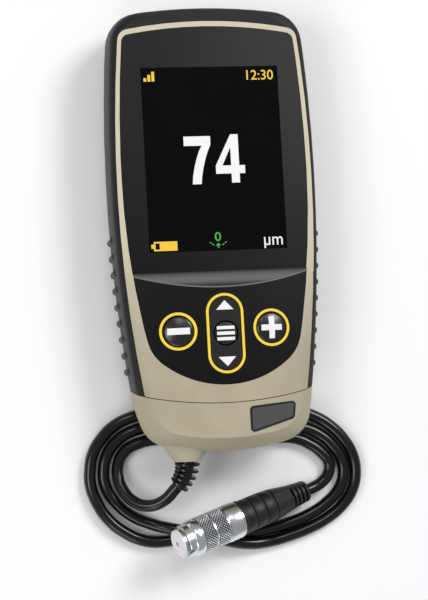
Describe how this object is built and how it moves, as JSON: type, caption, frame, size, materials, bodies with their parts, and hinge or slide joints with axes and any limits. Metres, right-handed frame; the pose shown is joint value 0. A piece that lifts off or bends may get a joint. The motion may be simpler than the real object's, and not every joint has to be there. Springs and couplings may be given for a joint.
{
  "type": "coating thickness gauge",
  "caption": "Hand-held coating thickness gauge with display, round keys and rubber jacket, and a knurled measuring probe on a coiled cable with a pull-off connector.",
  "frame": {"origin": "centre of the flat back face the gauge lies on, at the middle of its length", "axes": "+X across the gauge to its right, +Y along it to the top end, +Z out of the display face"},
  "size_m": [0.0894, 0.1714, 0.0255],
  "materials": {
    "shell": "satin",
    "back": "fine grain",
    "jacket": "matt",
    "panel": "satin",
    "window": "polished",
    "display": "satin",
    "board": "satin",
    "mat": "matt",
    "key": "satin",
    "ring": "satin",
    "cell": "gloss",
    "contact": "satin",
    "black": "satin",
    "gold": "satin",
    "plate": "satin",
    "cable": "satin",
    "chrome": "polished",
    "steel": "satin",
    "copper": "satin",
    "wear": "fine",
    "ruby": "polished"
  },
  "bodies": {
    "gauge": {"front_shell": "shell", "back_shell": "back", "rubber_jacket": "jacket", "face_panel": "panel", "display_window": "window", "lcd_module": "display", "main_board": "board", "keypad_mat": "mat", "minus_ring": "ring", "plus_ring": "ring", "nav_ring": "ring", "cell_left": "cell", "cell_middle": "cell", "cell_right": "cell", "contact_plates": "contact", "contact_springs": "contact", "body_screws": "steel", "beeper": "black", "usb_socket": "contact", "probe_socket": "black"},
    "minus_key": {"minus_key": "key"},
    "plus_key": {"plus_key": "key"},
    "menu_key": {"menu_key": "key"},
    "nav_rocker": {"nav_rocker": "key"},
    "battery_door": {"battery_door": "back"},
    "usb_cover": {"usb_cover": "jacket"},
    "connector": {"connector_housing": "shell", "connector_plug": "black", "contact_pins": "gold", "connector_board": "board", "badge_plate": "plate", "strain_relief": "cable", "cord": "cable", "probe_boot": "cable", "probe_collar": "black", "probe_barrel": "chrome", "probe_sleeve": "chrome", "probe_spring": "steel"},
    "plunger": {"probe_plunger": "steel", "wear_face": "wear", "ruby_tip": "ruby", "sensor_coil": "copper"}
  },
  "joints": [
    {"name": "minus_press", "type": "slide", "parent": "gauge", "child": "minus_key", "axis": [0, 0, -1], "range_m": [0, 0.0008], "stiffness_N_per_m": 1200},
    {"name": "plus_press", "type": "slide", "parent": "gauge", "child": "plus_key", "axis": [0, 0, -1], "range_m": [0, 0.0008], "stiffness_N_per_m": 1200},
    {"name": "menu_press", "type": "slide", "parent": "gauge", "child": "menu_key", "axis": [0, 0, -1], "range_m": [0, 0.0008], "stiffness_N_per_m": 1200},
    {"name": "rocker_tilt", "type": "hinge", "parent": "gauge", "child": "nav_rocker", "pos_m": [0, -0.0336, 0.02225], "axis": [1, 0, 0], "range_deg": [-3, 3], "stiffness_Nm_per_rad": 0.1},
    {"name": "door_swing", "type": "hinge", "parent": "gauge", "child": "battery_door", "pos_m": [0, 0.00615, 0.0009], "axis": [-1, 0, 0], "range_deg": [0, 60]},
    {"name": "cover_swing", "type": "hinge", "parent": "gauge", "child": "usb_cover", "pos_m": [0, 0.06895, 0.00985], "axis": [-1, 0, 0], "range_deg": [0, 90]},
    {"name": "connector_pull", "type": "slide", "parent": "gauge", "child": "connector", "axis": [0, -1, 0], "range_m": [0, 0.022]},
    {"name": "plunger_press", "type": "slide", "parent": "connector", "child": "plunger", "axis": [0.9207, 0.2727, -0.279], "range_m": [0, 0.0018], "stiffness_N_per_m": 400, "deforming": ["probe_spring"]}
  ]
}
